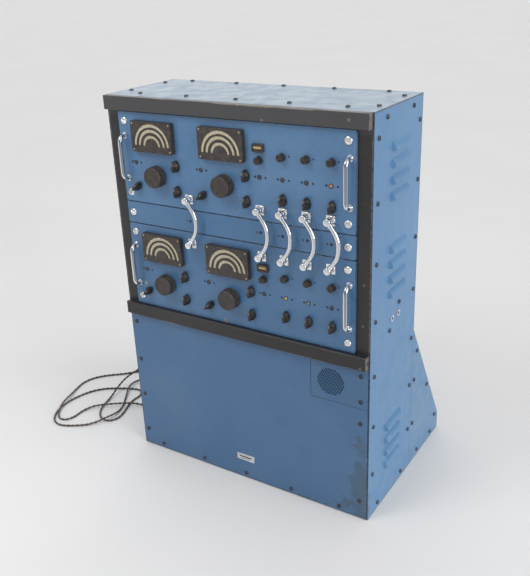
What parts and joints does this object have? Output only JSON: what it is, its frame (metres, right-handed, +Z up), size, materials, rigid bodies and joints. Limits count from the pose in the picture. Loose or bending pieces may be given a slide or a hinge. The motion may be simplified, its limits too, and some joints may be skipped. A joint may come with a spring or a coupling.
{
  "type": "ham_radio_transmitter",
  "caption": "Floor-standing steel cabinet transmitter with two rack tuning units, patch links, black trim bars, louvred sides and a sloped rear foot",
  "frame": {"origin": "middle of the footprint on the floor, knobs and handles included", "axes": "+Z up, the front faces -Y, +X to the right of a person facing the front"},
  "size_m": [0.8518, 0.4118, 0.7574],
  "materials": {
    "blue_paint": "worn satin blue enamel",
    "black_trim": "satin black enamel",
    "frame_steel": "grey primer on steel",
    "bezel_plastic": "black moulded bezel",
    "chrome": "bright plated metal",
    "screw_steel": "dull plated screws",
    "chassis_metal": "plain sheet",
    "knob_phenolic": "dark phenolic",
    "pointer_paint": "cream paint",
    "lead_rubber": "dark rubber",
    "lead_braid": "brown braided cotton"
  },
  "bodies": {
    "root": {"cabinet_frame": "frame_steel", "front_trim": "black_trim", "top_cover": "blue_paint", "left_side_panel": "blue_paint", "right_side_panel": "blue_paint", "rear_cover": "blue_paint", "rear_foot": "blue_paint", "lower_front_panel": "blue_paint", "speaker_panel": "blue_paint", "upper_unit_panel": "blue_paint", "link_panel": "blue_paint", "lower_unit_panel": "blue_paint", "dial_bezels": "bezel_plastic", "panel_handles": "chrome", "panel_screws": "screw_steel", "coax_sockets": "chrome", "unit_chassis": "chassis_metal", "power_supply": "frame_steel", "mains_gland": "lead_rubber", "mains_cord": "lead_braid", "mains_plug": "lead_rubber"},
    "lower_left_tuning_knob": {"lower_left_tuning_knob": "knob_phenolic"},
    "lower_left_dial_pointer": {"lower_left_dial_pointer": "pointer_paint"},
    "lower_right_tuning_knob": {"lower_right_tuning_knob": "knob_phenolic"},
    "lower_right_dial_pointer": {"lower_right_dial_pointer": "pointer_paint"},
    "lower_selector_knob_1": {"lower_selector_knob_1": "knob_phenolic"},
    "lower_selector_knob_2": {"lower_selector_knob_2": "knob_phenolic"},
    "lower_selector_knob_3": {"lower_selector_knob_3": "knob_phenolic"},
    "lower_selector_knob_4": {"lower_selector_knob_4": "knob_phenolic"},
    "lower_selector_knob_5": {"lower_selector_knob_5": "knob_phenolic"},
    "lower_selector_knob_6": {"lower_selector_knob_6": "knob_phenolic"},
    "lower_selector_knob_7": {"lower_selector_knob_7": "knob_phenolic"},
    "lower_selector_knob_8": {"lower_selector_knob_8": "knob_phenolic"},
    "lower_selector_knob_9": {"lower_selector_knob_9": "knob_phenolic"},
    "lower_trimmer_knob_1": {"lower_trimmer_knob_1": "knob_phenolic"},
    "lower_trimmer_knob_2": {"lower_trimmer_knob_2": "knob_phenolic"},
    "lower_trimmer_knob_3": {"lower_trimmer_knob_3": "knob_phenolic"},
    "lower_trimmer_knob_4": {"lower_trimmer_knob_4": "knob_phenolic"},
    "upper_left_tuning_knob": {"upper_left_tuning_knob": "knob_phenolic"},
    "upper_left_dial_pointer": {"upper_left_dial_pointer": "pointer_paint"},
    "upper_right_tuning_knob": {"upper_right_tuning_knob": "knob_phenolic"},
    "upper_right_dial_pointer": {"upper_right_dial_pointer": "pointer_paint"},
    "upper_selector_knob_1": {"upper_selector_knob_1": "knob_phenolic"},
    "upper_selector_knob_2": {"upper_selector_knob_2": "knob_phenolic"},
    "upper_selector_knob_3": {"upper_selector_knob_3": "knob_phenolic"},
    "upper_selector_knob_4": {"upper_selector_knob_4": "knob_phenolic"},
    "upper_selector_knob_5": {"upper_selector_knob_5": "knob_phenolic"},
    "upper_selector_knob_6": {"upper_selector_knob_6": "knob_phenolic"},
    "upper_selector_knob_7": {"upper_selector_knob_7": "knob_phenolic"},
    "upper_selector_knob_8": {"upper_selector_knob_8": "knob_phenolic"},
    "upper_selector_knob_9": {"upper_selector_knob_9": "knob_phenolic"},
    "upper_trimmer_knob_1": {"upper_trimmer_knob_1": "knob_phenolic"},
    "upper_trimmer_knob_2": {"upper_trimmer_knob_2": "knob_phenolic"},
    "upper_trimmer_knob_3": {"upper_trimmer_knob_3": "knob_phenolic"},
    "upper_trimmer_knob_4": {"upper_trimmer_knob_4": "knob_phenolic"},
    "patch_link_1": {"patch_link_1": "chrome"},
    "patch_link_2": {"patch_link_2": "chrome"},
    "patch_link_3": {"patch_link_3": "chrome"},
    "patch_link_4": {"patch_link_4": "chrome"},
    "patch_link_5": {"patch_link_5": "chrome"}
  },
  "joints": [
    {"name": "lower_left_tuning", "type": "hinge", "parent": "root", "child": "lower_left_tuning_knob", "pos_m": [-0.1585, -0.1685, 0.4007], "axis": [0, -1, 0], "range_deg": [-540, 540]},
    {"name": "lower_left_pointer", "type": "hinge", "parent": "root", "child": "lower_left_dial_pointer", "pos_m": [-0.1595, -0.1685, 0.4567], "axis": [0, -1, 0], "range_deg": [-90, 90]},
    {"name": "lower_right_tuning", "type": "hinge", "parent": "root", "child": "lower_right_tuning_knob", "pos_m": [-0.01, -0.1685, 0.4007], "axis": [0, -1, 0], "range_deg": [-540, 540]},
    {"name": "lower_right_pointer", "type": "hinge", "parent": "root", "child": "lower_right_dial_pointer", "pos_m": [-0.01, -0.1685, 0.4567], "axis": [0, -1, 0], "range_deg": [-90, 90]},
    {"name": "lower_selector_1", "type": "hinge", "parent": "root", "child": "lower_selector_knob_1", "pos_m": [-0.208, -0.1685, 0.3769], "axis": [0, -1, 0], "range_deg": [-150, 150]},
    {"name": "lower_selector_2", "type": "hinge", "parent": "root", "child": "lower_selector_knob_2", "pos_m": [-0.1135, -0.1685, 0.4234], "axis": [0, -1, 0], "range_deg": [-150, 150]},
    {"name": "lower_selector_3", "type": "hinge", "parent": "root", "child": "lower_selector_knob_3", "pos_m": [-0.1135, -0.1685, 0.3769], "axis": [0, -1, 0], "range_deg": [-150, 150]},
    {"name": "lower_selector_4", "type": "hinge", "parent": "root", "child": "lower_selector_knob_4", "pos_m": [-0.059, -0.1685, 0.3765], "axis": [0, -1, 0], "range_deg": [-150, 150]},
    {"name": "lower_selector_5", "type": "hinge", "parent": "root", "child": "lower_selector_knob_5", "pos_m": [0.0356, -0.1685, 0.4226], "axis": [0, -1, 0], "range_deg": [-150, 150]},
    {"name": "lower_selector_6", "type": "hinge", "parent": "root", "child": "lower_selector_knob_6", "pos_m": [0.0356, -0.1685, 0.3771], "axis": [0, -1, 0], "range_deg": [-150, 150]},
    {"name": "lower_selector_7", "type": "hinge", "parent": "root", "child": "lower_selector_knob_7", "pos_m": [0.1076, -0.1685, 0.3882], "axis": [0, -1, 0], "range_deg": [-150, 150]},
    {"name": "lower_selector_8", "type": "hinge", "parent": "root", "child": "lower_selector_knob_8", "pos_m": [0.153, -0.1685, 0.3882], "axis": [0, -1, 0], "range_deg": [-150, 150]},
    {"name": "lower_selector_9", "type": "hinge", "parent": "root", "child": "lower_selector_knob_9", "pos_m": [0.1988, -0.1685, 0.388], "axis": [0, -1, 0], "range_deg": [-150, 150]},
    {"name": "lower_trimmer_1", "type": "hinge", "parent": "root", "child": "lower_trimmer_knob_1", "pos_m": [0.0635, -0.1685, 0.4515], "axis": [0, -1, 0], "range_deg": [-135, 135]},
    {"name": "lower_trimmer_2", "type": "hinge", "parent": "root", "child": "lower_trimmer_knob_2", "pos_m": [0.1075, -0.1685, 0.4604], "axis": [0, -1, 0], "range_deg": [-135, 135]},
    {"name": "lower_trimmer_3", "type": "hinge", "parent": "root", "child": "lower_trimmer_knob_3", "pos_m": [0.153, -0.1685, 0.4611], "axis": [0, -1, 0], "range_deg": [-135, 135]},
    {"name": "lower_trimmer_4", "type": "hinge", "parent": "root", "child": "lower_trimmer_knob_4", "pos_m": [0.1988, -0.1685, 0.4608], "axis": [0, -1, 0], "range_deg": [-135, 135]},
    {"name": "upper_left_tuning", "type": "hinge", "parent": "root", "child": "upper_left_tuning_knob", "pos_m": [-0.1585, -0.1685, 0.6137], "axis": [0, -1, 0], "range_deg": [-540, 540]},
    {"name": "upper_left_pointer", "type": "hinge", "parent": "root", "child": "upper_left_dial_pointer", "pos_m": [-0.1595, -0.1685, 0.6697], "axis": [0, -1, 0], "range_deg": [-90, 90]},
    {"name": "upper_right_tuning", "type": "hinge", "parent": "root", "child": "upper_right_tuning_knob", "pos_m": [-0.01, -0.1685, 0.6137], "axis": [0, -1, 0], "range_deg": [-540, 540]},
    {"name": "upper_right_pointer", "type": "hinge", "parent": "root", "child": "upper_right_dial_pointer", "pos_m": [-0.01, -0.1685, 0.6697], "axis": [0, -1, 0], "range_deg": [-90, 90]},
    {"name": "upper_selector_1", "type": "hinge", "parent": "root", "child": "upper_selector_knob_1", "pos_m": [-0.208, -0.1685, 0.5899], "axis": [0, -1, 0], "range_deg": [-150, 150]},
    {"name": "upper_selector_2", "type": "hinge", "parent": "root", "child": "upper_selector_knob_2", "pos_m": [-0.1135, -0.1685, 0.6364], "axis": [0, -1, 0], "range_deg": [-150, 150]},
    {"name": "upper_selector_3", "type": "hinge", "parent": "root", "child": "upper_selector_knob_3", "pos_m": [-0.1135, -0.1685, 0.5899], "axis": [0, -1, 0], "range_deg": [-150, 150]},
    {"name": "upper_selector_4", "type": "hinge", "parent": "root", "child": "upper_selector_knob_4", "pos_m": [-0.059, -0.1685, 0.5895], "axis": [0, -1, 0], "range_deg": [-150, 150]},
    {"name": "upper_selector_5", "type": "hinge", "parent": "root", "child": "upper_selector_knob_5", "pos_m": [0.0356, -0.1685, 0.6356], "axis": [0, -1, 0], "range_deg": [-150, 150]},
    {"name": "upper_selector_6", "type": "hinge", "parent": "root", "child": "upper_selector_knob_6", "pos_m": [0.0356, -0.1685, 0.5901], "axis": [0, -1, 0], "range_deg": [-150, 150]},
    {"name": "upper_selector_7", "type": "hinge", "parent": "root", "child": "upper_selector_knob_7", "pos_m": [0.1076, -0.1685, 0.6012], "axis": [0, -1, 0], "range_deg": [-150, 150]},
    {"name": "upper_selector_8", "type": "hinge", "parent": "root", "child": "upper_selector_knob_8", "pos_m": [0.153, -0.1685, 0.6012], "axis": [0, -1, 0], "range_deg": [-150, 150]},
    {"name": "upper_selector_9", "type": "hinge", "parent": "root", "child": "upper_selector_knob_9", "pos_m": [0.1988, -0.1685, 0.601], "axis": [0, -1, 0], "range_deg": [-150, 150]},
    {"name": "upper_trimmer_1", "type": "hinge", "parent": "root", "child": "upper_trimmer_knob_1", "pos_m": [0.0635, -0.1685, 0.6645], "axis": [0, -1, 0], "range_deg": [-135, 135]},
    {"name": "upper_trimmer_2", "type": "hinge", "parent": "root", "child": "upper_trimmer_knob_2", "pos_m": [0.1075, -0.1685, 0.6734], "axis": [0, -1, 0], "range_deg": [-135, 135]},
    {"name": "upper_trimmer_3", "type": "hinge", "parent": "root", "child": "upper_trimmer_knob_3", "pos_m": [0.153, -0.1685, 0.6741], "axis": [0, -1, 0], "range_deg": [-135, 135]},
    {"name": "upper_trimmer_4", "type": "hinge", "parent": "root", "child": "upper_trimmer_knob_4", "pos_m": [0.1988, -0.1685, 0.6738], "axis": [0, -1, 0], "range_deg": [-135, 135]},
    {"name": "link_1_pull", "type": "slide", "parent": "root", "child": "patch_link_1", "axis": [0, -1, 0], "range_m": [0, 0.014]},
    {"name": "link_2_pull", "type": "slide", "parent": "root", "child": "patch_link_2", "axis": [0, -1, 0], "range_m": [0, 0.014]},
    {"name": "link_3_pull", "type": "slide", "parent": "root", "child": "patch_link_3", "axis": [0, -1, 0], "range_m": [0, 0.014]},
    {"name": "link_4_pull", "type": "slide", "parent": "root", "child": "patch_link_4", "axis": [0, -1, 0], "range_m": [0, 0.014]},
    {"name": "link_5_pull", "type": "slide", "parent": "root", "child": "patch_link_5", "axis": [0, -1, 0], "range_m": [0, 0.014]}
  ],
  "couplings": [
    {"joint": "lower_left_pointer", "follows": "lower_left_tuning", "ratio": 0.16667},
    {"joint": "lower_right_pointer", "follows": "lower_right_tuning", "ratio": 0.16667},
    {"joint": "upper_left_pointer", "follows": "upper_left_tuning", "ratio": 0.16667},
    {"joint": "upper_right_pointer", "follows": "upper_right_tuning", "ratio": 0.16667}
  ]
}
